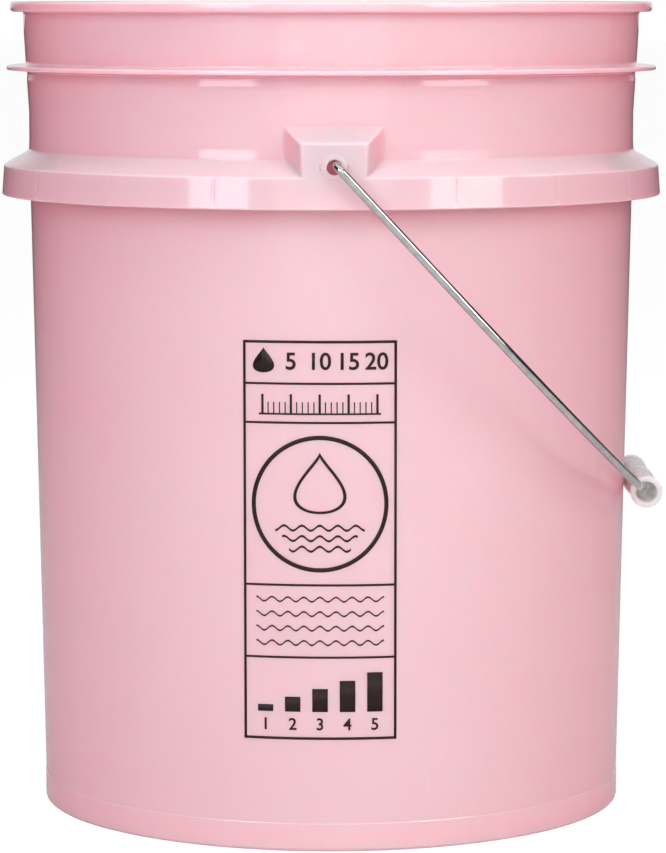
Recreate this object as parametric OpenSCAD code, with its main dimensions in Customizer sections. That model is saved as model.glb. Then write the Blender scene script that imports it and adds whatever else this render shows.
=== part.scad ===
// Wash bucket: a moulded open-head pail, a steel wire bail and a loose grip on the bail.
// Millimetres, +Z up. The origin is on the floor, under the middle of the pail.
// The near ear faces -Y, and the bail hangs down on the +X side.

/* [Pail] */
// Height from the floor to the top of the rim
pail_height = 370.4; // [310:0.1:450]
// Outer diameter of the neck, just above the shoulder
neck_d = 279.2; // [230:0.1:340]
// Thickness of the side wall
wall = 2.4; // [1.8:0.1:4]
// How much narrower the wall is at the base than at the neck, on the radius
wall_draft = 5.5; // [2:0.1:12]
// Thickness of the floor
floor_t = 2.6; // [1.8:0.1:5]

/* [Base] */
// Height of the straight band round the bottom
band_h = 12.5; // [8:0.1:20]
// How far the band stands out from the wall
band_step = 0.2; // [0.1:0.05:1]
// Width of the foot ring that the pail stands on
foot_w = 9; // [5:0.5:20]
// How far the floor is raised above the foot ring
foot_h = 3; // [2:0.1:8]

/* [Rim and ring] */
// How much the neck widens towards the rim, on the radius
neck_flare = 2.7; // [1:0.1:5]
// How far the rim stands out from the neck
rim_w = 5.6; // [4:0.1:9]
// Height of the rim
rim_h = 4.8; // [3.6:0.1:8]
// Distance from the top of the rim down to the middle of the lid ring
ring_drop = 30.3; // [20:0.1:45]
// How far the lid ring stands out from the neck
ring_w = 9; // [4:0.1:11]
// Thickness of the lid ring at its tip
ring_tip_t = 1.9; // [1.2:0.1:3]
// Thickness of the lid ring at the neck
ring_root_t = 3.4; // [2.4:0.1:5]

/* [Shoulder skirt] */
// Distance from the top of the rim down to the top of the shoulder
shoulder_drop = 68.1; // [60:0.1:90]
// Height of the slope of the shoulder
shoulder_h = 6.6; // [4:0.1:10]
// Height of the upright face of the skirt
skirt_h = 13.7; // [9:0.1:20]
// How far the skirt stands out from the neck
skirt_w = 12.8; // [11:0.1:18]
// How far the skirt leans in from its bottom to its top edge
skirt_lean = 1; // [0.2:0.1:2]
// Thickness of the skirt
skirt_t = 2.2; // [1.6:0.1:3]
// Angle from the middle of an ear to the nearest gusset inside the skirt
gusset_from = 20; // [19:1:30]
// Number of gussets from one ear to the other, on each side
gusset_count = 8; // [5:1:13]
// Thickness of a gusset
gusset_t = 2; // [1.2:0.1:3]
// How much thicker the wall is inside the skirt
root_t = 0.4; // [0.2:0.1:1]

/* [Ears] */
// Width of the front of an ear
ear_face_w = 27.2; // [24:0.1:40]
// Width of an ear at the neck
ear_root_w = 39.6; // [36:0.1:56]
// Height of the ear's front above the shoulder's edge
ear_rise = 14.8; // [13:0.1:22]
// Height of the slope on top of an ear
ear_slope_h = 6.2; // [4:0.1:10]
// Distance from the shoulder's edge up to the middle of the bail hole
hole_rise = 4.5; // [2:0.1:7]
// Thickness of the ear round the bail hole
boss_l = 4.4; // [3:0.1:5.5]
// Width of the collar round the bail hole
boss_w = 1.9; // [1.2:0.1:3]
// How far the collar stands out from the front of the ear
collar_h = 0.4; // [0.1:0.1:0.8]

/* [Bail] */
// Diameter of the bail's wire
wire_d = 3.76; // [2.8:0.02:4.6]
// Room between the legs of the bail and the skirt
leg_gap = 2.2; // [1.6:0.1:6]
// How far the straight legs reach past the rim when the bail is upright
leg_margin = 1; // [0.5:0.5:20]
// Angle at which the wire enters the grip
mouth_angle = 11.7; // [5:0.1:20]
// Bend radius of the wire at the mouth of the grip
mouth_bend_r = 20; // [10:1:40]
// Bend radius of the elbow outside the ear
elbow_r = 4; // [3:0.1:6]
// Bend radius of the hook inside the ear
hook_r = 3; // [2.6:0.1:3.4]
// Length of the hook's tip, from the middle of the hole
hook_reach = 6.4; // [5:0.1:7]
// Angle between the hook and the plane of the bail
hook_turn = 70; // [0:5:180]

/* [Grip] */
// Length of the grip
grip_l = 84; // [70:1:110]
// Thickness of the grip's barrel
grip_t = 1.9; // [1.4:0.1:3]
// How far the end flanges stand out from the barrel
flange_h = 0.7; // [0.3:0.1:2]
// How far the middle ring stands out from the barrel
mid_ring_h = 0.5; // [0.2:0.1:1.5]
// Length of each end flange and of the middle ring
flange_l = 3; // [2:0.5:6]

/* [Fits] */
// Room round the wire in the bail hole, on the radius
hole_play = 1.32; // [0.3:0.02:2]
// Room round the wire in the grip, on the radius
bore_play = 2.92; // [0.3:0.02:3.2]
// Gap left where the wire bears on the ear and on the grip
bearing_gap = 0.1; // [0.05:0.01:0.1]
// Gap left between the grip and the wall when the bail hangs
rest_gap = 0.25; // [0.2:0.05:1]
// End play of the bail's hooks behind the ears
hook_play = 1.2; // [0.5:0.1:2]

/* [Edges] */
// Radius on the edges of the rim and of the foot
edge_r = 1.6; // [0.8:0.1:2]
// Radius on the edges of the skirt and of the lid ring
fine_r = 0.7; // [0.3:0.1:0.8]
// Radius in the corner between the floor and the wall
inner_r = 5; // [2:0.5:12]

/* [Hidden] */
$fn = 128;
WIRE_FN = 48;
ARC_STEPS = 5;
OVER = 1;  // how far a cut runs past the face that it opens
JOINT_REACH = 0.1;  // every other length of the wire ends this far inside its neighbours
JOINT_STEP = 0.01;  // and is this much finer on the radius, so that the lengths join cleanly

// Pail
neck_r = neck_d / 2;
wall_r = neck_r - wall_draft;  // outer radius of the wall at the top of the band
band_r = wall_r + band_step;
rim_neck_r = neck_r + neck_flare;
rim_r = rim_neck_r + rim_w;
rim_z = pail_height - rim_h;
ring_z = pail_height - ring_drop;
shoulder_z = pail_height - shoulder_drop;
edge_z = shoulder_z - shoulder_h;
skirt_z = edge_z - skirt_h;
skirt_r = neck_r + skirt_w;
skirt_top_r = skirt_r - skirt_lean;
taper = (neck_r - wall_r) / (shoulder_z - band_h);
neck_z = (shoulder_z + ring_z - ring_root_t) / 2;  // the neck is upright up to here
floor_z = foot_h + floor_t;
foot_in_r = band_r - foot_w;
function wall_r_at(z) = wall_r + taper * (z - band_h);
function neck_r_at(z) = neck_r + neck_flare * (z - neck_z) / (rim_z - neck_z);
function face_r_at(z) = skirt_r - skirt_lean * (z - skirt_z) / skirt_h;
ring_r = neck_r_at(ring_z) + ring_w;
roof_drop = skirt_t * norm([skirt_top_r - neck_r, shoulder_h]) / (skirt_top_r - neck_r);

// Ears and the bail hole
ear_top_z = edge_z + ear_rise;
ear_back_z = ear_top_z + ear_slope_h;
ear_top_r = face_r_at(ear_top_z);
ear_slant = (ear_root_w - ear_face_w) / 2 / (skirt_top_r - neck_r);
function ear_half_w(y) = ear_face_w / 2 + ear_slant * (skirt_top_r - y);
ear_roof_drop = skirt_t * norm([ear_top_r - neck_r, ear_slope_h]) / (ear_top_r - neck_r);
wire_r = wire_d / 2;
hole_r = wire_r + hole_play;
hole_z = edge_z + hole_rise;
boss_r = hole_r + boss_w;
boss_out = face_r_at(hole_z) + collar_h;
boss_in = boss_out - boss_l;

// Bail: u runs from the pivot towards the grip, v along the pivot
pivot_off = (hole_play - bearing_gap) / sqrt(2);  // the wire bears on the hole's upper outer side
pivot_x = pivot_off;
pivot_z = hole_z + pivot_off;
leg_v = max(skirt_r, ring_r, rim_r) + leg_gap + wire_r;
mouth_v = grip_l / 2 - 1;
bow_r = (leg_v - mouth_v - mouth_bend_r * sin(mouth_angle)) / (1 - sin(mouth_angle));
bow_u = pail_height - pivot_z + leg_margin;
bow_v = leg_v - bow_r;
wire_u = bow_u + bow_r * cos(mouth_angle) + mouth_bend_r * (1 - cos(mouth_angle));
hook_v = boss_in - hook_play - wire_r;

// Grip
bore_r = wire_r + bore_play;
barrel_r = bore_r + grip_t;
flange_r = barrel_r + flange_h;
mid_ring_r = barrel_r + mid_ring_h;
grip_u = wire_u + bore_play - bearing_gap;

// Angle of the hanging bail below the horizontal, where the middle ring meets the tapered wall
taper_angle = atan(taper);
rest_reach = wall_r_at(pivot_z) + (mid_ring_r + rest_gap) / cos(taper_angle);
function hang_angle(offset) = taper_angle + acos((rest_reach - offset) * cos(taper_angle) / grip_u);
hang = hang_angle(pivot_x);
swing = 180 + hang + hang_angle(-pivot_x);

echo(pivot = [pivot_x, pivot_z], hang = hang, swing = swing, grip_u = grip_u);
echo(grip_at = [pivot_x + grip_u * cos(hang), pivot_z - grip_u * sin(hang)], leg_v = leg_v);
echo(boss_in = boss_in, boss_out = boss_out, hook_v = hook_v, skirt_r = skirt_r, bow_r = bow_r);

// The arc that rounds corner b between a and c, as points
function unit(v) = v / norm(v);
function corner(a, b, c, r) =
    let (
        p = unit(a - b),
        q = unit(c - b),
        half = acos(p * q) / 2,
        mid = b + unit(p + q) * r / sin(half),
        from = b + p * r / tan(half) - mid,
        to = b + q * r / tan(half) - mid,
        start = atan2(from[1], from[0]),
        turn = atan2(from[0] * to[1] - from[1] * to[0], from * to)
    )
    [for (i = [0:ARC_STEPS]) mid + r * [cos(start + turn * i / ARC_STEPS), sin(start + turn * i / ARC_STEPS)]];

// An outline of [x, y, radius] corners, with each corner rounded to its radius
function xy(p) = [p[0], p[1]];
function rounded(pts) =
    let (n = len(pts))
    [
        for (i = [0:n - 1])
            each pts[i][2] > 0
                ? corner(xy(pts[(i + n - 1) % n]), xy(pts[i]), xy(pts[(i + 1) % n]), pts[i][2])
                : [xy(pts[i])]
    ];

// Outer wall, lid ring and rim, with the inside and the foot's recess left out
module shell() {
    ring_in_r = neck_r_at(ring_z) - wall / 2;
    rotate_extrude()
        polygon(rounded([
            [0, foot_h, 0],
            [foot_in_r - foot_h, foot_h, 0],
            [foot_in_r, 0, 0],
            [band_r, 0, edge_r],
            [band_r, band_h - band_step, 0],
            [wall_r, band_h, 0],
            [neck_r, shoulder_z, 0],
            [neck_r, neck_z, 0],
            [rim_neck_r, rim_z, 0],
            [rim_r, rim_z, edge_r],
            [rim_r, pail_height, edge_r],
            [rim_neck_r - wall, pail_height, fine_r],
            [neck_r - wall, neck_z, 0],
            [neck_r - wall, shoulder_z, 0],
            [wall_r_at(floor_z) - wall, floor_z, inner_r],
            [0, floor_z, 0]
        ]));
    rotate_extrude()
        polygon(rounded([
            [ring_in_r, ring_z - ring_root_t / 2, 0],
            [ring_in_r + wall / 2 + ring_w, ring_z - ring_tip_t / 2, fine_r],
            [ring_in_r + wall / 2 + ring_w, ring_z + ring_tip_t / 2, fine_r],
            [ring_in_r, ring_z + ring_root_t / 2, 0]
        ]));
}

// Solid skirt under the shoulder, from the wall out to its face
module skirt_block() {
    rotate_extrude()
        polygon(rounded([
            [neck_r - wall / 2, skirt_z, 0],
            [skirt_r, skirt_z, fine_r],
            [skirt_top_r, edge_z, fine_r],
            [neck_r, shoulder_z, 0],
            [neck_r - wall / 2, shoulder_z, 0]
        ]));
}

// Hollow of the skirt between two angles round the pail
module skirt_hollow(from, to) {
    low = skirt_z - OVER;
    roof_z = shoulder_z - roof_drop;
    rotate_extrude(angle = to - from, start = from)
        polygon([
            [wall_r_at(low) + root_t, low],
            [face_r_at(low) - skirt_t, low],
            [face_r_at(edge_z) - skirt_t, roof_z - shoulder_h * (1 - skirt_t / skirt_w)],
            [neck_r + root_t, roof_z]
        ]);
}

// Hollows of the skirt, with a gusset left between each two and the ears left whole
module skirt_hollows() {
    gusset_span = gusset_t / 2 / skirt_r * 180 / PI;
    gusset_step = (180 - 2 * gusset_from) / (gusset_count - 1);
    first = gusset_from - 90;
    difference() {
        both_ears() {
            skirt_hollow(-90 - gusset_from + gusset_span, first - gusset_span);
            for (i = [0:gusset_count - 2]) {
                skirt_hollow(first + i * gusset_step + gusset_span, first + (i + 1) * gusset_step - gusset_span);
            }
        }
        both_ears() ear_plan(0, skirt_z - 2 * OVER, shoulder_z);
    }
}

// Plan of an ear, grown or shrunk by a margin on its two sides
module ear_plan(margin, low, high) {
    front = skirt_r + OVER;
    back = neck_r - wall - OVER;
    front_x = ear_half_w(front) + margin;
    back_x = ear_half_w(back) + margin;
    translate([0, 0, low])
        linear_extrude(high - low)
            polygon([[-front_x, -front], [front_x, -front], [back_x, -back], [-back_x, -back]]);
}

// Ear on the -Y side, solid
module ear_block() {
    intersection() {
        rotate_extrude()
            polygon(rounded([
                [neck_r - wall / 2, skirt_z, 0],
                [skirt_r, skirt_z, fine_r],
                [skirt_top_r, edge_z, 0],
                [ear_top_r, ear_top_z, fine_r],
                [neck_r, ear_back_z, 0],
                [neck_r - wall / 2, ear_back_z, 0]
            ]));
        ear_plan(0, skirt_z - OVER, ear_back_z + OVER);
    }
    translate([0, -boss_out, hole_z])
        rotate([-90, 0, 0])
            cylinder(h = boss_l, r = boss_r, $fn = WIRE_FN);
}

// Hollow behind an ear's front, open at the bottom of the skirt
module ear_hollow() {
    low = skirt_z - OVER;
    roof_z = ear_back_z - ear_roof_drop;
    difference() {
        intersection() {
            rotate_extrude()
                polygon([
                    [wall_r_at(low) + root_t, low],
                    [face_r_at(low) - skirt_t, low],
                    [ear_top_r - skirt_t, roof_z - ear_slope_h * (1 - skirt_t / skirt_w)],
                    [neck_r + root_t, roof_z]
                ]);
            ear_plan(-skirt_t, low - OVER, ear_back_z);
        }
        translate([0, -boss_out, hole_z])
            rotate([-90, 0, 0])
                cylinder(h = boss_l, r = boss_r, $fn = WIRE_FN);
    }
}

// Round hole for the bail through an ear's front
module bail_hole() {
    translate([0, -boss_out - OVER, hole_z])
        rotate([-90, 0, 0])
            cylinder(h = boss_l + 2 * OVER, r = hole_r, $fn = WIRE_FN);
}

// Both ears' copies of what is made on the -Y side
module both_ears() {
    children();
    rotate([0, 0, 180])
        children();
}

// The pail, moulded in one piece
module pail() {
    color("pink")
        difference() {
            union() {
                shell();
                skirt_block();
                both_ears() ear_block();
            }
            skirt_hollows();
            both_ears() {
                ear_hollow();
                bail_hole();
            }
        }
}

// A straight length of wire, full or fine, along +X from the place given
module wire_x(u, v, length, fine = false) {
    reach = fine ? JOINT_REACH : 0;
    translate([u - reach, v, 0])
        rotate([0, 90, 0])
            cylinder(h = length + 2 * reach, r = wire_r - (fine ? JOINT_STEP : 0), $fn = WIRE_FN);
}

// A straight length of wire, full or fine, along +Y from the place given
module wire_y(u, v, length, fine = false) {
    reach = fine ? JOINT_REACH : 0;
    translate([u, v - reach, 0])
        rotate([-90, 0, 0])
            cylinder(h = length + 2 * reach, r = wire_r - (fine ? JOINT_STEP : 0), $fn = WIRE_FN);
}

// A bend in the wire, full or fine, about the centre given
module bend(u, v, r, from, to, fine = false) {
    reach = fine ? JOINT_REACH / r * 180 / PI : 0;
    translate([u, v, 0])
        rotate_extrude(angle = to - from + 2 * reach, start = from - reach)
            translate([r, 0])
                circle(r = wire_r - (fine ? JOINT_STEP : 0), $fn = WIRE_FN);
}

// The hook behind the ear, at the end of the pin
module hook() {
    bend(-hook_r, hook_v + hook_r, hook_r, -90, 0);
    wire_x(-hook_reach, hook_v, hook_reach - hook_r, fine = true);
}

// Half of the bail on the +Y side, in its own plane
module half_bail() {
    bend(wire_u - mouth_bend_r, mouth_v, mouth_bend_r, 0, mouth_angle, fine = true);
    bend(bow_u, bow_v, bow_r, mouth_angle, 90);
    wire_x(elbow_r, leg_v, bow_u - elbow_r, fine = true);
    bend(elbow_r, leg_v - elbow_r, elbow_r, 90, 180);
    wire_y(0, hook_v + hook_r, leg_v - elbow_r - hook_v - hook_r, fine = true);
    rotate([0, hook_turn, 0])
        hook();
}

// Places what is drawn in the plane of the bail as it hangs
module hanging() {
    translate([pivot_x, 0, pivot_z])
        rotate([0, hang, 0])
            children();
}

// The bail, one bent wire from hook to hook
module bail_wire() {
    color("silver")
        hanging() {
            wire_y(wire_u, -mouth_v, 2 * mouth_v);
            half_bail();
            mirror([0, 1, 0])
                half_bail();
        }
}

// The grip, a loose tube with a flange at each end and a ring round its middle
module grip() {
    half_l = grip_l / 2;
    lip = 0.4;  // chamfer at each mouth of the bore
    soft = 0.3;  // radius on the flanges and on the ring
    color("whitesmoke")
        hanging()
            translate([grip_u, 0, 0])
                rotate([90, 0, 0])
                    rotate_extrude($fn = 64)
                        polygon(rounded([
                            [bore_r, -half_l + lip, 0],
                            [bore_r + lip, -half_l, 0],
                            [flange_r, -half_l, soft],
                            [flange_r, -half_l + flange_l, soft],
                            [barrel_r, -half_l + flange_l, 0],
                            [barrel_r, -flange_l / 2, 0],
                            [mid_ring_r, -flange_l / 2, soft],
                            [mid_ring_r, flange_l / 2, soft],
                            [barrel_r, flange_l / 2, 0],
                            [barrel_r, half_l - flange_l, 0],
                            [flange_r, half_l - flange_l, soft],
                            [flange_r, half_l, soft],
                            [bore_r + lip, half_l, 0],
                            [bore_r, half_l - lip, 0]
                        ]));
}

pail();
bail_wire();
grip();
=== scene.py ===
import math

import bmesh
import bpy
from mathutils import Matrix, Vector


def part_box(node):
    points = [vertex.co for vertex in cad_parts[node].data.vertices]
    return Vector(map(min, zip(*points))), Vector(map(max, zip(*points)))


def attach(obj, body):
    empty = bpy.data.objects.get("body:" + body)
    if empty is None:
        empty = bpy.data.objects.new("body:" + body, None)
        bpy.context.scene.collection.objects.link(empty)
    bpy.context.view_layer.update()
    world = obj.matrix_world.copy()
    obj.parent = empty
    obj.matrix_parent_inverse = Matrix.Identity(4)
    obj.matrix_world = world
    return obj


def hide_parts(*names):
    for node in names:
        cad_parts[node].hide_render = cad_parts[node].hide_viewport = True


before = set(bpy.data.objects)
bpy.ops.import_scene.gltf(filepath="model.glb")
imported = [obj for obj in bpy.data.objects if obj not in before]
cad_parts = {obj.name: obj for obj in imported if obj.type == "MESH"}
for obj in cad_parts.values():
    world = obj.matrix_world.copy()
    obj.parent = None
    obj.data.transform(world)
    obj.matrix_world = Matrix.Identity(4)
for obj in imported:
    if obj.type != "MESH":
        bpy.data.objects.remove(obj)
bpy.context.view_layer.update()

# Sizes are in millimetres and are turned into metres as each vertex is placed.
MM = 0.001
PAIL_LOW, PAIL_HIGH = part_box("pail")
GRIP_LOW, GRIP_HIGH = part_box("grip")

# Pail: the wall, the neck and the rim
HEIGHT = PAIL_HIGH.z / MM
INSET = 0.08  # how far the visible pail stays inside the frame's box
WALL = 2.4
NECK_R = 139.6
WALL_R = 134.1
BAND_R = 134.3
BAND_H = 12.5
RIM_NECK_R = 142.3
RIM_R = 147.9
RIM_Z = HEIGHT - 4.8
RING_Z = HEIGHT - 30.3
SHOULDER_Z = HEIGHT - 68.1
EDGE_Z = SHOULDER_Z - 6.6
SKIRT_Z = EDGE_Z - 13.7
SKIRT_R = PAIL_HIGH.x / MM - INSET
SKIRT_LEAN = 1.0
SKIRT_T = 2.2
ROOT_T = 0.4
NECK_Z = (SHOULDER_Z + RING_Z - 3.4) / 2
TAPER = (NECK_R - WALL_R) / (SHOULDER_Z - BAND_H)

# Pail: the floor and the foot
FOOT_H = 3.0
FLOOR_Z = 5.6
FOOT_IN_R = 125.3

# Pail: gussets under the skirt and the marks they leave on its face
GUSSET_FROM = 20.0  # from the middle of an ear to the nearest gusset
GUSSET_STEP = 20.0
GUSSET_COUNT = 8  # from one ear to the other
GUSSET_HALF = 0.376
GUSSET_EDGE = 1.4  # how far from a gusset's middle its own columns reach
GUSSET_COLUMNS = (0.0, 0.12, 0.25, GUSSET_HALF, 0.56, GUSSET_EDGE)
SINK_HALF = 0.55
SINK_DEPTH = 0.16
WIDE_STEP = 2.6  # the widest column between gussets

# Ears
EAR_FACE_HALF = 13.6
EAR_ROOT_HALF = 19.8
EAR_TOP_Z = EDGE_Z + 14.8
EAR_BACK_Z = EAR_TOP_Z + 6.2
EAR_ANGLE = 10.0  # half of the angle round the pail that is made finely for an ear
EAR_STEP = 0.25
EAR_WALL_FROM = 6.4
EAR_WALL_TO = 6.8
EAR_ROUNDING = 1.7  # of the ear's root on the shoulder
SEAM_ANGLE = -75.0  # where the columns start, clear of the ears and the gussets

# The hollow behind the skirt and the ears
SHOULDER_ROOF_Z = SHOULDER_Z - 2.52
SHOULDER_ROOF_SLOPE = 1.683
EAR_ROOF_Z = EAR_BACK_Z - 2.54
EAR_ROOF_SLOPE = 1.579
ROWS_UP = 8  # up the wall
ROWS_DOWN = 30  # down behind the face
FILLED_DEPTH = 0.03  # how deep the hollow is, of its full depth, where a gusset or a wall fills it

# Bail hole
HOLE_Z = EDGE_Z + 4.5
HOLE_R = 3.2
HOLE_OPENING = 6.3  # half of the height that is opened before the hole is closed to its size
HOLE_ANGLE = 2.45  # half of the angle that is opened
BOSS_R = 5.1
BOSS_OUT = 151.42
BOSS_IN = 147.07


def wall_r_at(z):
    return WALL_R + TAPER * (z - BAND_H)


def neck_r_at(z):
    return NECK_R + (RIM_NECK_R - NECK_R) * max(0.0, z - NECK_Z) / (RIM_Z - NECK_Z)


def face_r_at(z):
    return SKIRT_R - SKIRT_LEAN * (z - SKIRT_Z) / (EDGE_Z - SKIRT_Z)


def soft_min(a, b, k):
    """The smaller of two values, with the corner between them rounded over a width k."""
    h = max(k - abs(a - b), 0.0) / k
    return min(a, b) - h * h * k / 4


def soft_max(a, b, k):
    return -soft_min(-a, -b, k)


def smooth(t):
    t = min(max(t, 0.0), 1.0)
    return t * t * (3 - 2 * t)


def spread(low, high, count):
    """Evenly spaced values from low up to, and without, high."""
    return [low + (high - low) * i / count for i in range(count)]


def outline(corners, steps=3):
    """Points along an outline of (r, z, radius) corners, each rounded to its radius."""
    points = []
    for i, (r, z, radius) in enumerate(corners):
        here = Vector((r, z))
        if radius == 0 or i in (0, len(corners) - 1):
            points.append((r, z))
            continue
        p = (Vector(corners[i - 1][:2]) - here).normalized()
        q = (Vector(corners[i + 1][:2]) - here).normalized()
        half = p.angle(q) / 2
        middle = here + (p + q).normalized() * radius / math.sin(half)
        start = here + p * radius / math.tan(half) - middle
        turn = math.pi - 2 * half
        if p.x * q.y - p.y * q.x > 0:
            turn = -turn
        for s in range(steps + 1):
            a = turn * s / steps
            x = start.x * math.cos(a) - start.y * math.sin(a)
            y = start.x * math.sin(a) + start.y * math.cos(a)
            points.append((middle.x + x, middle.y + y))
    return points


# Rows of the pail's outline that are the same all the way round

UNDERSIDE = outline([
    (0.0, FOOT_H + 0.5, 0),
    (2.2, FOOT_H + 0.5, 0.4),
    (3.4, FOOT_H, 0.4),
    (46.0, FOOT_H, 0.3),
    (46.6, FOOT_H + 0.5, 0.3),
    (98.0, FOOT_H + 0.5, 0.3),
    (98.6, FOOT_H, 0.3),
    (FOOT_IN_R - FOOT_H, FOOT_H, 1.2),
    (FOOT_IN_R, 0, 0.8),
    (BAND_R, 0, 1.6),
    (BAND_R, BAND_H - 0.2, 0.25),
    (WALL_R, BAND_H + 0.2, 0.25),
    (wall_r_at(SKIRT_Z - 30), SKIRT_Z - 30, 0),
    (wall_r_at(SKIRT_Z - 1.2), SKIRT_Z - 1.2, 0),
    (wall_r_at(SKIRT_Z) + ROOT_T, SKIRT_Z, 0),
])

# The neck draws in a little under the ring and under the rim
RING_RELIEF = 0.34
RIM_RELIEF = 0.22
UPPER = outline([
    (NECK_R, NECK_Z, 0),
    (neck_r_at(RING_Z - 6.0), RING_Z - 6.0, 0),
    (neck_r_at(RING_Z - 5.6), RING_Z - 5.6, 0),
    (neck_r_at(RING_Z - 3.2) - RING_RELIEF, RING_Z - 3.2, 0),
    (neck_r_at(RING_Z - 1.7) - RING_RELIEF, RING_Z - 1.7, 0.5),
    (neck_r_at(RING_Z) + 9.0, RING_Z - 0.95, 0.7),
    (neck_r_at(RING_Z) + 9.0, RING_Z + 0.95, 0.7),
    (neck_r_at(RING_Z + 1.7), RING_Z + 1.7, 1.2),
    (neck_r_at(RING_Z + 8.0), RING_Z + 8.0, 0),
    (neck_r_at(RIM_Z - 8.5), RIM_Z - 8.5, 0),
    (neck_r_at(RIM_Z - 7.5), RIM_Z - 7.5, 0),
    (neck_r_at(RIM_Z - 1.2) - RIM_RELIEF, RIM_Z - 1.2, 0),
    (neck_r_at(RIM_Z) - RIM_RELIEF, RIM_Z, 0.5),
    (RIM_R, RIM_Z, 1.5),
    (RIM_R, HEIGHT, 1.5),
    (RIM_NECK_R - WALL, HEIGHT, 0.8),
    (NECK_R - WALL, NECK_Z, 0),
    (NECK_R - WALL, SHOULDER_Z, 0),
    (wall_r_at(150) - WALL, 150, 0),
    (wall_r_at(FLOOR_Z) - WALL, FLOOR_Z, 5.0),
    (60.0, FLOOR_Z, 0),
    (0.0, FLOOR_Z, 0),
])

# Heights of the rows on the skirt, the shoulder and the ears
FINE_FACE_Z = 293.6
FACE_ROWS = (
    spread(SKIRT_Z + 0.75, FINE_FACE_Z, 8)
    + spread(FINE_FACE_Z, EDGE_Z - 0.6, 3)
    + spread(EDGE_Z - 0.6, EDGE_Z + 0.6, 10)
    + spread(EDGE_Z + 0.6, SHOULDER_Z - 0.9, 9)
    + spread(SHOULDER_Z - 0.9, SHOULDER_Z + 0.9, 10)
    + spread(SHOULDER_Z + 0.9, EAR_TOP_Z - 1.0, 12)
    + spread(EAR_TOP_Z - 1.0, EAR_TOP_Z + 0.6, 6)
    + spread(EAR_TOP_Z + 0.6, EAR_BACK_Z - 0.6, 8)
    + spread(EAR_BACK_Z - 0.6, EAR_BACK_Z + 1.0, 6)
)


def ear_turn(angle):
    """Angle in degrees from the middle of the nearer ear."""
    return abs((angle + 90.0 + 90.0) % 180.0 - 90.0)


def ear_side_r(turn, inset=0.0):
    """Radius at which the side of an ear is met, at an angle from the ear's middle."""
    face = face_r_at(EDGE_Z)
    slant = (EAR_ROOT_HALF - EAR_FACE_HALF) / (face - NECK_R)
    t = math.radians(turn)
    return (EAR_FACE_HALF - inset + slant * face) / (math.sin(t) + slant * math.cos(t))


def slope_r(z, low, high, low_r):
    """Radius on a slope that runs in from low_r at height low to the neck at height high."""
    return low_r - (z - low) * (low_r - NECK_R) / (high - low)


def gusset_turn(angle):
    """Angle in degrees from the middle of the nearest gusset."""
    from_first = ear_turn(angle) - GUSSET_FROM
    return abs((from_first + GUSSET_STEP / 2) % GUSSET_STEP - GUSSET_STEP / 2)


def sink(angle, z):
    """Depth of the mark that a gusset leaves on the face of the skirt and on the shoulder."""
    turn = gusset_turn(angle)
    if ear_turn(angle) < EAR_ANGLE or turn > SINK_HALF:
        return 0.0
    fade = smooth((SHOULDER_Z - z) / 3) * smooth((z - SKIRT_Z - 0.7) / 4)
    return SINK_DEPTH * fade * (1 - smooth(turn / SINK_HALF))


def skin_r(angle, z):
    """Outer radius of the skirt, the shoulder, the neck and the ears."""
    turn = ear_turn(angle)
    base = soft_min(face_r_at(z), slope_r(z, EDGE_Z, SHOULDER_Z, face_r_at(EDGE_Z)), 0.9)
    foot = 0.05 * max(0.0, SHOULDER_Z + 4.6 - z)
    base = soft_max(base, NECK_R + foot, 1.6)
    if turn < EAR_ANGLE:
        top = slope_r(z, EAR_TOP_Z, EAR_BACK_Z, face_r_at(EAR_TOP_Z))
        ear = soft_min(face_r_at(z), top, 1.3)
        ear = soft_min(ear, ear_side_r(turn), 1.6)
        base = soft_max(base, ear, 0.1 + EAR_ROUNDING * smooth((z - EDGE_Z) / 5))
    return base - sink(angle, z)


def hollow_r(turn, z):
    """Radius of the hollow inside the skirt, or inside an ear."""
    face = face_r_at(z) - SKIRT_T
    roof = NECK_R + ROOT_T + (SHOULDER_ROOF_Z - z) * SHOULDER_ROOF_SLOPE
    if turn > EAR_WALL_FROM:
        return min(face, roof)
    side = ear_side_r(turn, SKIRT_T)
    ear_roof = NECK_R + ROOT_T + (EAR_ROOF_Z - z) * EAR_ROOF_SLOPE
    return min(face, max(side, roof), ear_roof)


def hollow_rows(angle):
    """The hollow's outline, up the wall and down behind the face of the skirt."""
    turn = ear_turn(angle)
    top = EAR_ROOF_Z if turn < EAR_WALL_FROM else SHOULDER_ROOF_Z
    filled = gusset_turn(angle) < GUSSET_HALF + 0.01 and turn > EAR_ANGLE
    filled = filled or EAR_WALL_FROM < turn < EAR_WALL_TO
    depth = FILLED_DEPTH if filled else 1.0
    rows = []
    for z in spread(SKIRT_Z + 0.4, top, ROWS_UP):
        rows.append((wall_r_at(z) + ROOT_T, z))
    for i in range(ROWS_DOWN):
        z = top + (SKIRT_Z + 0.5 - top) * i / (ROWS_DOWN - 1)
        rows.append((hollow_r(turn, z), z))
    return [(r, SKIRT_Z + 0.3 + (z - SKIRT_Z - 0.3) * depth) for r, z in rows]


LIP = outline([
    (SKIRT_R - SKIRT_T, SKIRT_Z + 0.4, 0),
    (SKIRT_R - SKIRT_T, SKIRT_Z, 0.35),
    (SKIRT_R, SKIRT_Z, 0.7),
    (SKIRT_R - 0.03, SKIRT_Z + 0.72, 0),
], 4)[1:-1]


def pail_rows(angle):
    """The pail's whole outline at one angle, from under the floor to its top side."""
    face = [(skin_r(angle, z), z) for z in FACE_ROWS]
    return UNDERSIDE + hollow_rows(angle) + LIP + face + UPPER


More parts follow.
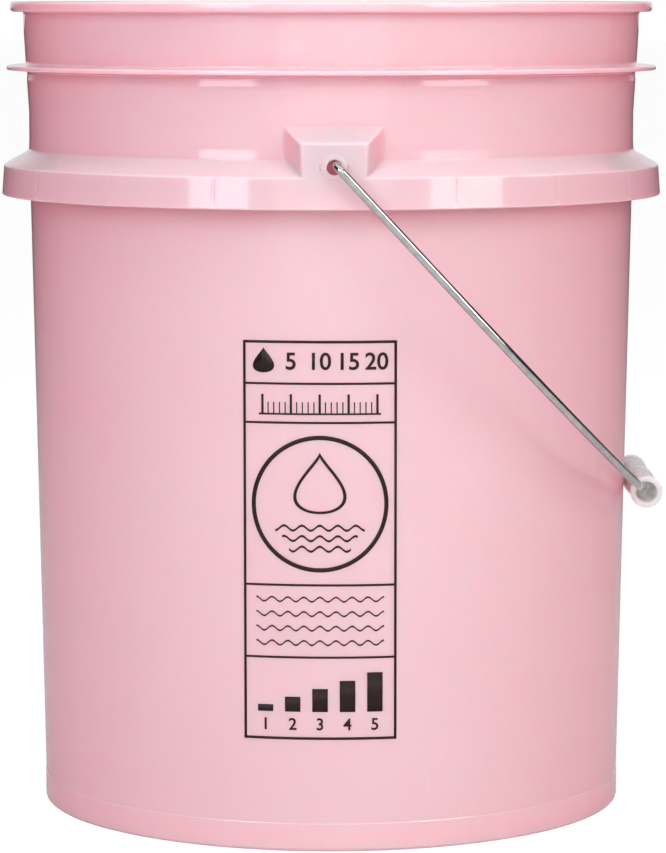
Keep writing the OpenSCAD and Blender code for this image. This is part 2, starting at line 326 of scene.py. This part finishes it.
def pail_angles():
    """Angles of the columns: fine across the ears and at each gusset, wide between them."""
    angles = set()
    for ear in (-90.0, 90.0):
        for i in range(-round(EAR_ANGLE / EAR_STEP), round(EAR_ANGLE / EAR_STEP) + 1):
            angles.add(round(ear + i * EAR_STEP, 4))
    for ear in (-90.0, 90.0):
        gussets = [ear + GUSSET_FROM + i * GUSSET_STEP for i in range(GUSSET_COUNT)]
        for middle in gussets:
            for offset in GUSSET_COLUMNS:
                angles.add(round(middle + offset, 4))
                angles.add(round(middle - offset, 4))
        starts = [ear + EAR_ANGLE] + [middle + GUSSET_EDGE for middle in gussets]
        ends = [middle - GUSSET_EDGE for middle in gussets] + [ear + 180.0 - EAR_ANGLE]
        for low, high in zip(starts, ends):
            count = math.ceil((high - low) / WIDE_STEP)
            for k in range(1, count):
                angles.add(round(low + (high - low) * k / count, 4))
    return sorted((a - SEAM_ANGLE) % 360.0 + SEAM_ANGLE for a in angles)


def place(r, z, angle):
    t = math.radians(angle)
    return Vector((r * math.cos(t), r * math.sin(t), z)) * MM


def flat_grid(columns, rows):
    """A flat grid of vertices, keyed by column and row, that is to be wrapped into a tube."""
    bm = bmesh.new()
    bmesh.ops.create_grid(bm, x_segments=columns, y_segments=rows - 1, size=1)
    grid = {}
    for v in bm.verts:
        i = round((v.co.x + 1) / 2 * columns)
        j = round((v.co.y + 1) / 2 * (rows - 1))
        grid[i, j] = v
    return bm, grid


def close_tube(bm):
    """Joins a wrapped grid's first and last columns, and turns its faces outward."""
    bmesh.ops.remove_doubles(bm, verts=bm.verts[:], dist=2e-6)
    bmesh.ops.recalc_face_normals(bm, faces=bm.faces[:])


def even_shading(piece, weight):
    even = piece.modifiers.new("even_shading", "WEIGHTED_NORMAL")
    even.keep_sharp = True
    even.weight = weight


def to_object(name, bm, material, body):
    """Makes a piece from a bmesh, gives it its material and lets it ride on a body."""
    mesh = bpy.data.meshes.new(name)
    bm.to_mesh(mesh)
    bm.free()
    mesh.shade_smooth()
    mesh.materials.append(material)
    piece = bpy.data.objects.new(name, mesh)
    bpy.context.scene.collection.objects.link(piece)
    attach(piece, body)
    return piece


def make_hole(bm, grid, angles, side):
    """Opens the bail hole through an ear, with its collar outside and its boss inside."""
    middle = 180.0 - 90.0 * side
    columns = [i for i, a in enumerate(angles) if abs(a - middle) < HOLE_ANGLE]
    down_start = len(UNDERSIDE) + ROWS_UP
    face_start = down_start + ROWS_DOWN + len(LIP)
    outer = [face_start + k for k, z in enumerate(FACE_ROWS) if abs(z - HOLE_Z) < HOLE_OPENING]
    profile = pail_rows(middle)
    inner = []
    for j in range(down_start, down_start + ROWS_DOWN):
        if abs(profile[j][1] - HOLE_Z) < HOLE_OPENING:
            inner.append(j)
    loops = []
    for rows in (outer, inner):
        inside = [grid[i, j] for i in columns for j in rows]
        known = set(inside)
        faces = [f for f in bm.faces if all(v in known for v in f.verts)]
        opened = set(faces)
        rim = []
        for f in faces:
            for e in f.edges:
                if sum(1 for g in e.link_faces if g in opened) == 1:
                    rim.append(e)
        bmesh.ops.delete(bm, geom=faces, context="FACES_ONLY")
        core = [v for v in inside if not any(e.link_faces for e in v.link_edges)]
        bmesh.ops.delete(bm, geom=core, context="VERTS")
        loops.append([e for e in rim if e.is_valid])
    edges = loops[0]

    def on_face(x, z):
        return -math.sqrt(face_r_at(z) ** 2 - x * x)

    # Each ring's radius and its y on the near side, or else, where that is None, its y from the face
    rings = [
        (6.1, None, 0.0),
        (5.8, None, 0.0),
        (BOSS_R + 0.12, None, -0.05),
        (BOSS_R, None, -0.18),
        (BOSS_R - 0.1, -BOSS_OUT + 0.06, 0),
        (BOSS_R - 0.28, -BOSS_OUT, 0),
        (HOLE_R + 0.5, -BOSS_OUT, 0),
        (HOLE_R + 0.2, -BOSS_OUT + 0.06, 0),
        (HOLE_R + 0.05, -BOSS_OUT + 0.22, 0),
        (HOLE_R, -BOSS_OUT + 0.5, 0),
        (HOLE_R, -BOSS_IN - 0.4, 0),
        (HOLE_R + 0.1, -BOSS_IN - 0.1, 0),
        (HOLE_R + 0.3, -BOSS_IN, 0),
        (BOSS_R - 0.3, -BOSS_IN, 0),
        (BOSS_R, -BOSS_IN - 0.3, 0),
        (BOSS_R, -BOSS_IN - 1.2, 0),
    ]
    for radius, y, from_face in rings:
        made = bmesh.ops.extrude_edge_only(bm, edges=edges)["geom"]
        edges = [g for g in made if isinstance(g, bmesh.types.BMEdge)]
        new = [g for g in made if isinstance(g, bmesh.types.BMVert)]
        for v in new:
            a = math.atan2(v.co.z / MM - HOLE_Z, -side * v.co.x / MM)
            x = radius * math.cos(a)
            z = HOLE_Z + radius * math.sin(a)
            near_y = on_face(x, z) + from_face if y is None else y
            v.co = Vector((-side * x, -side * near_y, z)) * MM
    bmesh.ops.bridge_loops(bm, edges=edges + loops[1])


def make_pail(material):
    angles = pail_angles()
    profiles = [pail_rows(a) for a in angles]
    columns = len(angles)
    bm, grid = flat_grid(columns, len(profiles[0]))
    for (i, j), v in grid.items():
        r, z = profiles[i % columns][j]
        v.co = place(r, z, angles[i % columns])
    for side in (-1, 1):
        make_hole(bm, grid, angles, side)
    close_tube(bm)
    piece = to_object("pail_shell", bm, material, "pail")
    even_shading(piece, 60)
    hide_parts("pail")
    return piece


# Grip

GRIP_HALF = (GRIP_HIGH.y - GRIP_LOW.y) / 2 / MM - INSET
FLANGE_R = (GRIP_HIGH.x - GRIP_LOW.x) / 2 / MM - INSET
BARREL_R = FLANGE_R - 0.66
MID_RING_R = FLANGE_R - 0.2
BORE_R = 4.8
FLANGE_L = 3.0
GRIP_OUTLINE = [
    (BORE_R, 0, 0),
    (BORE_R, -GRIP_HALF, 0.45),
    (FLANGE_R, -GRIP_HALF, 0.55),
    (FLANGE_R, -GRIP_HALF + FLANGE_L, 0.5),
    (BARREL_R, -GRIP_HALF + FLANGE_L, 0.15),
    (BARREL_R, -FLANGE_L / 2, 0.15),
    (MID_RING_R, -FLANGE_L / 2, 0.22),
    (MID_RING_R, FLANGE_L / 2, 0.22),
    (BARREL_R, FLANGE_L / 2, 0.15),
    (BARREL_R, GRIP_HALF - FLANGE_L, 0.15),
    (FLANGE_R, GRIP_HALF - FLANGE_L, 0.5),
    (FLANGE_R, GRIP_HALF, 0.55),
    (BORE_R, GRIP_HALF, 0.45),
    (BORE_R, 0, 0),
]
SEAM_H = 0.07
GRIP_COLUMNS = 96
SEAM_COLUMN = 12  # the mould's two seams, counted from the +X side and from the -X side


def make_grip(material):
    """A loose tube with soft flanges, a middle ring and the fine seam of its mould."""
    points = outline(GRIP_OUTLINE)
    centre = (GRIP_LOW + GRIP_HIGH) / 2
    bm, grid = flat_grid(GRIP_COLUMNS, len(points))
    for (i, j), v in grid.items():
        r, y = points[j]
        if i % (GRIP_COLUMNS // 2) == SEAM_COLUMN and BORE_R + 1.0 < r < FLANGE_R - 0.1:
            r += SEAM_H
        t = math.tau * (i % GRIP_COLUMNS) / GRIP_COLUMNS
        v.co = centre + Vector((r * math.cos(t), y, r * math.sin(t))) * MM
    close_tube(bm)
    piece = to_object("grip_tube", bm, material, "grip")
    even_shading(piece, 50)
    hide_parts("grip")
    return piece


# Fill gauge printed on the wall, drawn flat with x along the wall and y up, then bent round it

PRINT_ANGLE = -92.57  # the middle of the print, round the pail
PRINT_HALF = 33.6
PRINT_LOW = 50.0
PRINT_HIGH = 225.2
PRINT_ROWS = (86.5, 118.4, 189.5, 206.5)  # heights of the lines between the panels
RING_MIDDLE = 154.0
RING_RADIUS = 29.0
BORDER = 1.15
LINE = 0.95
INK_LIFT = 0.01
INK_T = 0.05
CUT_STEP = 3.0
CUTS_A_SIDE = 11


def bar(bm, low_x, low_y, high_x, high_y):
    made = bmesh.ops.create_grid(bm, x_segments=1, y_segments=1, size=0.5)["verts"]
    bmesh.ops.scale(bm, vec=(high_x - low_x, high_y - low_y, 1), verts=made)
    bmesh.ops.translate(bm, vec=((low_x + high_x) / 2, (low_y + high_y) / 2, 0), verts=made)


def thicken(bm, loop, x, y, share):
    """Makes a closed line into a flat band that reaches a share of the way to its middle."""
    edges = list(dict.fromkeys(e for v in loop for e in v.link_edges))
    made = bmesh.ops.extrude_edge_only(bm, edges=edges)["geom"]
    inner = [g for g in made if isinstance(g, bmesh.types.BMVert)]
    bmesh.ops.scale(bm, vec=(share, share, 1), space=Matrix.Translation((-x, -y, 0)), verts=inner)


def hoop(bm, x, y, radius, width):
    loop = bmesh.ops.create_circle(bm, segments=120, radius=radius + width / 2)["verts"]
    bmesh.ops.translate(bm, vec=(x, y, 0), verts=loop)
    thicken(bm, loop, x, y, (radius - width / 2) / (radius + width / 2))


def drop(bm, x, y, size, share=0.0):
    """A water drop, filled, or hollow with its inside edge a share of its size."""
    filled = share == 0.0
    made = bmesh.ops.create_circle(bm, cap_ends=filled, segments=64, radius=1)["verts"]
    for v in made:
        t = math.atan2(v.co.x, v.co.y)
        wide = math.sin(t) * math.sin(abs(t) / 2) ** 1.6
        v.co = Vector((x + size * 0.62 * wide, y + size * (0.5 * math.cos(t) + 0.08), 0))
    if not filled:
        thicken(bm, made, x, y - size * 0.08, share)


def wave(bm, low_x, high_x, y, height, pitch, width):
    made = bmesh.ops.create_grid(bm, x_segments=96, y_segments=1, size=1)["verts"]
    for v in made:
        x = low_x + (high_x - low_x) * (v.co.x + 1) / 2
        v.co = Vector((x, y + height * math.cos(x * math.tau / pitch) + v.co.y * width / 2, 0))


def number(bm, text, x, y, height):
    """A number, centred on a point."""
    curve = bpy.data.curves.new("number", "FONT")
    curve.body = text
    curve.align_x = "CENTER"
    curve.align_y = "CENTER"
    curve.size = height * 1.37
    curve.offset = height * 0.02
    carrier = bpy.data.objects.new("number", curve)
    mesh = carrier.to_mesh()
    mesh.transform(Matrix.Translation((x, y, 0)))
    bm.from_mesh(mesh)
    carrier.to_mesh_clear()
    bpy.data.objects.remove(carrier)
    bpy.data.curves.remove(curve)


def draw_gauge(bm):
    for x in (-PRINT_HALF, PRINT_HALF - BORDER):
        bar(bm, x, PRINT_LOW, x + BORDER, PRINT_HIGH)
    inner = PRINT_HALF - BORDER
    for y in (PRINT_LOW, PRINT_HIGH - BORDER):
        bar(bm, -inner, y, inner, y + BORDER)
    for y in PRINT_ROWS:
        bar(bm, -inner, y - LINE / 2, inner, y + LINE / 2)
    # The head: a drop and the marks of the gauge
    head = (PRINT_ROWS[3] + PRINT_HIGH) / 2
    drop(bm, -24.5, head, 11.0)
    for i, text in enumerate(("5", "10", "15", "20")):
        number(bm, text, -12.5 + i * 12.4, head, 7.6)
    # A ruler
    low = PRINT_ROWS[2] + 4.2
    for i in range(21):
        x = -25.0 + i * 2.5
        tall, half = ((8.2, 0.5), (4.8, 0.25))[i % 5 > 0]
        bar(bm, x - half, low, x + half, low + tall)
    bar(bm, -26.6, low - 0.01, 26.6, low - 0.8)
    # The ring, with a drop over water
    hoop(bm, 0, RING_MIDDLE, RING_RADIUS, 1.85)
    drop(bm, 0, RING_MIDDLE + 7.0, 27.0, 0.88)
    for i in range(3):
        reach = 19.5 - 3.0 * i
        wave(bm, -reach, reach, RING_MIDDLE - 10.5 - 4.6 * i, 1.1, 7.8, 1.0)
    # Water
    for i in range(4):
        wave(bm, -28.0, 28.0, PRINT_ROWS[0] + 6.4 + 6.4 * i, 1.0, 7.0, 0.75)
    # Bars of a measure, with their numbers
    for i in range(5):
        x = -24.0 + 12.0 * i
        bar(bm, x - 3.4, PRINT_LOW + 12.4, x + 3.4, PRINT_LOW + 15.4 + 3.6 * i)
        number(bm, str(i + 1), x, PRINT_LOW + 6.6, 5.4)


def make_print(material):
    bm = bmesh.new()
    draw_gauge(bm)
    # Cuts across the flat print let it bend smoothly
    for i in range(-CUTS_A_SIDE, CUTS_A_SIDE + 1):
        geom = bm.verts[:] + bm.edges[:] + bm.faces[:]
        at = (i * CUT_STEP, 0, 0)
        bmesh.ops.bisect_plane(bm, geom=geom, plane_co=at, plane_no=(1, 0, 0))
    bmesh.ops.triangulate(bm, faces=[f for f in bm.faces if len(f.verts) > 4])
    for f in bm.faces:
        f.normal_update()
    bmesh.ops.reverse_faces(bm, faces=[f for f in bm.faces if f.normal.z < 0])
    for v in bm.verts:
        r = wall_r_at(v.co.y) + INK_LIFT
        v.co = place(r, v.co.y, PRINT_ANGLE + math.degrees(v.co.x / r))
    piece = to_object("fill_gauge_print", bm, material, "pail")
    ink = piece.modifiers.new("ink_thickness", "SOLIDIFY")
    ink.thickness = INK_T * MM
    ink.offset = 1.0
    return piece


# Materials

def new_material(name):
    """A material with an empty tree, its shader and its Object coordinates."""
    material = bpy.data.materials.new(name)
    material.use_nodes = True
    tree = material.node_tree
    tree.nodes.clear()
    output = tree.nodes.new("ShaderNodeOutputMaterial")
    shader = tree.nodes.new("ShaderNodeBsdfPrincipled")
    tree.links.new(shader.outputs[0], output.inputs[0])
    place_node = tree.nodes.new("ShaderNodeTexCoord")
    return material, tree, shader, place_node.outputs["Object"]


def feed(tree, value, socket):
    """Sets a socket to a constant, or links it to another node's output."""
    if isinstance(value, (int, float, tuple)):
        socket.default_value = value
    else:
        tree.links.new(value, socket)


def noise(tree, vector, scale, detail=2.0, distortion=0.0):
    node = tree.nodes.new("ShaderNodeTexNoise")
    feed(tree, scale, node.inputs["Scale"])
    node.inputs["Detail"].default_value = detail
    node.inputs["Distortion"].default_value = distortion
    tree.links.new(vector, node.inputs["Vector"])
    return node.outputs["Fac"]


def between(tree, value, from_low, from_high, to_low=0.0, to_high=1.0):
    """Maps a value from one range to another, and clamps it."""
    node = tree.nodes.new("ShaderNodeMapRange")
    node.inputs["From Min"].default_value = from_low
    node.inputs["From Max"].default_value = from_high
    node.inputs["To Min"].default_value = to_low
    node.inputs["To Max"].default_value = to_high
    tree.links.new(value, node.inputs["Value"])
    return node.outputs["Result"]


def maths(tree, operation, a, b):
    node = tree.nodes.new("ShaderNodeMath")
    node.operation = operation
    feed(tree, a, node.inputs[0])
    feed(tree, b, node.inputs[1])
    return node.outputs[0]


def blend_colours(tree, share, first, second):
    node = tree.nodes.new("ShaderNodeMix")
    node.data_type = "RGBA"
    feed(tree, share, node.inputs["Factor"])
    feed(tree, first, node.inputs["A"])
    feed(tree, second, node.inputs["B"])
    return node.outputs["Result"]


def normal_z(tree):
    """How far the surface faces up, from -1 to 1."""
    place_node = tree.nodes.new("ShaderNodeTexCoord")
    split = tree.nodes.new("ShaderNodeSeparateXYZ")
    tree.links.new(place_node.outputs["Normal"], split.inputs[0])
    return split.outputs["Z"]


def bump(tree, height, depth, shader):
    """Turns a height from 0 to 1 into relief of a depth in metres."""
    node = tree.nodes.new("ShaderNodeBump")
    node.inputs["Strength"].default_value = 1.0
    node.inputs["Distance"].default_value = depth
    tree.links.new(height, node.inputs["Height"])
    tree.links.new(node.outputs[0], shader.inputs["Normal"])


def moulded_surface_group():
    """Relief, tone and scuffs of moulded plastic, from Object coordinates."""
    group = bpy.data.node_groups.new("moulded_surface", "ShaderNodeTree")
    face = group.interface
    face.new_socket("Vector", in_out="INPUT", socket_type="NodeSocketVector")
    for name, value in (("Ripple Scale", 18.0), ("Grain Scale", 700.0), ("Scuffs", 0.5)):
        socket = face.new_socket(name, in_out="INPUT", socket_type="NodeSocketFloat")
        socket.default_value = value
    for name in ("Height", "Tone", "Scuff"):
        face.new_socket(name, in_out="OUTPUT", socket_type="NodeSocketFloat")
    start = group.nodes.new("NodeGroupInput")
    end = group.nodes.new("NodeGroupOutput")
    vector = start.outputs["Vector"]

    ripple = noise(group, vector, start.outputs["Ripple Scale"], 1.0)
    grain = noise(group, vector, start.outputs["Grain Scale"], 3.0)
    soft = maths(group, "MULTIPLY", ripple, 0.93)
    fine = maths(group, "MULTIPLY", grain, 0.07)
    group.links.new(maths(group, "ADD", soft, fine), end.inputs["Height"])
    group.links.new(between(group, ripple, 0.3, 0.7), end.inputs["Tone"])

    stretch = group.nodes.new("ShaderNodeMapping")
    stretch.inputs["Scale"].default_value = (1.0, 1.0, 0.09)
    stretch.inputs["Rotation"].default_value = (0.35, 0.2, 0.0)
    group.links.new(vector, stretch.inputs["Vector"])
    streaks = between(group, noise(group, stretch.outputs[0], 900.0, 1.0), 0.66, 0.72)
    patches = between(group, noise(group, vector, 22.0, 3.0), 0.55, 0.7)
    scuff = maths(group, "MULTIPLY", streaks, patches)
    scuff = maths(group, "MULTIPLY", scuff, start.outputs["Scuffs"])
    group.links.new(scuff, end.inputs["Scuff"])
    return group


def place_group(tree, group, vector, **values):
    node = tree.nodes.new("ShaderNodeGroup")
    node.node_tree = group
    tree.links.new(vector, node.inputs["Vector"])
    for name, value in values.items():
        node.inputs[name.replace("_", " ")].default_value = value
    return node.outputs


def pink_plastic(surface):
    material, tree, shader, here = new_material("pink_polyethylene")
    out = place_group(tree, surface, here, Ripple_Scale=16.0, Grain_Scale=650.0, Scuffs=0.5)
    # Painted shade: Layer Weight's Facing darkens and deepens the pink where a wall turns from the
    # camera, towards its silhouettes
    tilt = tree.nodes.new("ShaderNodeLayerWeight")
    tilt.inputs["Blend"].default_value = 0.5
    tone = blend_colours(tree, out["Tone"], (0.99, 0.525, 0.572, 1), (0.99, 0.541, 0.588, 1))
    # upright: 1 on walls and 0 on faces that look up; it masks the painted side shade and the
    # painted top light
    upright = between(tree, normal_z(tree), 0.08, 0.4, 1.0, 0.0)
    # depth here is the share of the painted side shade: Facing, on upright walls only
    depth = maths(tree, "MULTIPLY", tilt.outputs["Facing"], upright)
    tone = blend_colours(tree, depth, tone, (0.99, 0.385, 0.465, 1))
    # Painted light: faces that look up, such as the shoulder, the tops of the ears and the floor
    # inside, are made paler, as if lit from above
    tone = blend_colours(tree, upright, (0.99, 0.60, 0.645, 1), tone)
    colour = blend_colours(tree, out["Scuff"], tone, (0.99, 0.60, 0.64, 1))
    tree.links.new(colour, shader.inputs["Base Color"])
    rough = maths(tree, "ADD", maths(tree, "MULTIPLY", out["Tone"], 0.03), 0.07)
    rough = maths(tree, "ADD", rough, maths(tree, "MULTIPLY", out["Scuff"], 0.25))
    tree.links.new(rough, shader.inputs["Roughness"])
    bump(tree, out["Height"], 0.00012, shader)
    shader.inputs["IOR"].default_value = 1.5
    shader.inputs["Subsurface Weight"].default_value = 0.8
    shader.inputs["Subsurface Radius"].default_value = (1.0, 0.22, 0.28)
    shader.inputs["Subsurface Scale"].default_value = 0.016
    return material


def zinc():
    material, tree, shader, here = new_material("zinc_coat")
    spangle = noise(tree, here, 260.0, 3.0, 0.4)
    pits = noise(tree, here, 2400.0, 2.0)
    colour = blend_colours(
        tree, between(tree, spangle, 0.3, 0.7), (0.40, 0.41, 0.42, 1), (0.56, 0.56, 0.55, 1)
    )
    tree.links.new(colour, shader.inputs["Base Color"])
    rough = between(tree, spangle, 0.3, 0.7, 0.08, 0.14)
    tree.links.new(rough, shader.inputs["Roughness"])
    bump(tree, pits, 0.00002, shader)
    shader.inputs["Metallic"].default_value = 1.0
    return material


def natural_plastic(surface):
    material, tree, shader, here = new_material("natural_polyethylene")
    out = place_group(tree, surface, here, Ripple_Scale=90.0, Grain_Scale=1500.0, Scuffs=0.3)
    tone = blend_colours(tree, out["Tone"], (0.88, 0.925, 0.92, 1), (0.92, 0.96, 0.955, 1))
    colour = blend_colours(tree, out["Scuff"], tone, (0.9, 0.9, 0.9, 1))
    tree.links.new(colour, shader.inputs["Base Color"])
    tree.links.new(between(tree, out["Tone"], 0.0, 1.0, 0.24, 0.34), shader.inputs["Roughness"])
    bump(tree, out["Height"], 0.00015, shader)
    shader.inputs["Subsurface Weight"].default_value = 1.0
    shader.inputs["Subsurface Radius"].default_value = (1.0, 1.0, 0.95)
    shader.inputs["Subsurface Scale"].default_value = 0.012
    return material


def black_ink():
    material, tree, shader, here = new_material("black_screen_ink")
    cover = noise(tree, here, 900.0, 4.0)
    colour = blend_colours(
        tree, between(tree, cover, 0.35, 0.75), (0.012, 0.004, 0.005, 1), (0.026, 0.008, 0.010, 1)
    )
    tree.links.new(colour, shader.inputs["Base Color"])
    tree.links.new(between(tree, cover, 0.3, 0.7, 0.32, 0.5), shader.inputs["Roughness"])
    shader.inputs["Specular IOR Level"].default_value = 0.25
    return material


# Stage

def make_floor():
    """A wide floor that looks white, and that sends a part of the light back up."""
    bm = bmesh.new()
    bmesh.ops.create_grid(bm, x_segments=1, y_segments=1, size=30)
    mesh = bpy.data.meshes.new("floor")
    bm.to_mesh(mesh)
    bm.free()
    floor = bpy.data.objects.new("floor", mesh)
    bpy.context.scene.collection.objects.link(floor)
    material = bpy.data.materials.new("pale_floor")
    material.use_nodes = True
    tree = material.node_tree
    tree.nodes.clear()
    output = tree.nodes.new("ShaderNodeOutputMaterial")
    mix = tree.nodes.new("ShaderNodeMixShader")
    diffuse = tree.nodes.new("ShaderNodeBsdfDiffuse")
    diffuse.inputs["Color"].default_value = (0.8, 0.8, 0.8, 1)
    glow = tree.nodes.new("ShaderNodeEmission")
    glow.inputs["Color"].default_value = (1, 1, 1, 1)
    glow.inputs["Strength"].default_value = 1.12
    path = tree.nodes.new("ShaderNodeLightPath")
    share = tree.nodes.new("ShaderNodeMath")
    share.operation = "MULTIPLY"
    share.inputs[1].default_value = 0.86
    tree.links.new(path.outputs["Is Camera Ray"], share.inputs[0])
    tree.links.new(share.outputs[0], mix.inputs[0])
    tree.links.new(diffuse.outputs[0], mix.inputs[1])
    tree.links.new(glow.outputs[0], mix.inputs[2])
    tree.links.new(mix.outputs[0], output.inputs[0])
    floor.data.materials.append(material)


def make_world():
    """A white background, and a dim room that is brighter on its far side."""
    world = bpy.data.worlds.new("studio")
    world.use_nodes = True
    bpy.context.scene.world = world
    tree = world.node_tree
    tree.nodes.clear()
    output = tree.nodes.new("ShaderNodeOutputWorld")
    mix = tree.nodes.new("ShaderNodeMixShader")
    seen = tree.nodes.new("ShaderNodeBackground")
    seen.inputs["Color"].default_value = (1, 1, 1, 1)
    room = tree.nodes.new("ShaderNodeBackground")
    room.inputs["Color"].default_value = (0.95, 0.97, 1.0, 1)
    direction = tree.nodes.new("ShaderNodeTexCoord")
    split = tree.nodes.new("ShaderNodeSeparateXYZ")
    tree.links.new(direction.outputs["Generated"], split.inputs[0])
    backdrop = between(tree, split.outputs["Y"], 0.86, 0.97, 0.06, 0.8)
    tree.links.new(backdrop, room.inputs["Strength"])
    path = tree.nodes.new("ShaderNodeLightPath")
    tree.links.new(path.outputs["Is Camera Ray"], mix.inputs[0])
    tree.links.new(room.outputs[0], mix.inputs[1])
    tree.links.new(seen.outputs[0], mix.inputs[2])
    tree.links.new(mix.outputs[0], output.inputs[0])


def softbox(name, azimuth, distance, low, high, width, power, colour=(1, 1, 1), aim_z=None):
    """A rectangular light, azimuth degrees to the camera's right.

    It faces the pail's axis at the height aim_z, or else at its own height.
    """
    light = bpy.data.lights.new(name, "AREA")
    light.shape = "RECTANGLE"
    light.size = width
    light.size_y = high - low
    light.energy = power
    light.color = colour
    lamp = bpy.data.objects.new(name, light)
    t = math.radians(azimuth)
    middle = Vector((math.sin(t) * distance, -math.cos(t) * distance, (low + high) / 2))
    lamp.location = middle
    target = Vector((0, 0, (low + high) / 2 if aim_z is None else aim_z))
    lamp.rotation_euler = (target - middle).to_track_quat("-Z", "Y").to_euler()
    bpy.context.scene.collection.objects.link(lamp)


def make_lights():
    softbox("left_softbox", -37.5, 1.5, 0.30, 1.5, 0.54, 10.6, (0.96, 0.98, 1.02))
    softbox("right_softbox", 44.5, 1.5, 0.37, 1.5, 0.68, 12.6, (1.03, 1.0, 0.955))
    softbox("low_fill", 0, 2.2, 0.0, 0.9, 1.6, 4.0)
    softbox("front_fill", 0, 2.6, 0.9, 2.7, 2.2, 22.5, aim_z=0.2)
    softbox("top_light", 0, 0.01, 0.7, 3.1, 2.4, 24.0, aim_z=0.2)


# Camera
CAMERA_TURN = math.radians(-0.5)
CAMERA_DISTANCE = 1.7895
CAMERA_HEIGHT = 0.3733
CAMERA_PITCH = math.radians(6.40)
CAMERA_YAW = math.radians(-0.0268)
CAMERA_LENS = 162.47


def make_camera():
    data = bpy.data.cameras.new("camera")
    data.lens = CAMERA_LENS
    data.sensor_width = 36
    data.clip_end = 200
    camera = bpy.data.objects.new("camera", data)
    bpy.context.scene.collection.objects.link(camera)
    place_at = Vector((
        math.sin(CAMERA_TURN) * CAMERA_DISTANCE,
        -math.cos(CAMERA_TURN) * CAMERA_DISTANCE,
        CAMERA_HEIGHT,
    ))
    turn = Matrix.Rotation(CAMERA_TURN + CAMERA_YAW, 4, "Z")
    tilt = Matrix.Rotation(math.pi / 2 - CAMERA_PITCH, 4, "X")
    camera.matrix_world = Matrix.Translation(place_at) @ turn @ tilt
    bpy.context.scene.camera = camera


def dress(node, material):
    """Gives a CAD node its material."""
    node.data.materials.clear()
    node.data.materials.append(material)


make_camera()
make_world()
make_lights()
make_floor()
bpy.context.scene.view_settings.view_transform = "Standard"

surface = moulded_surface_group()
make_pail(pink_plastic(surface))
make_print(black_ink())
dress(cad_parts["bail_wire"], zinc())
make_grip(natural_plastic(surface))
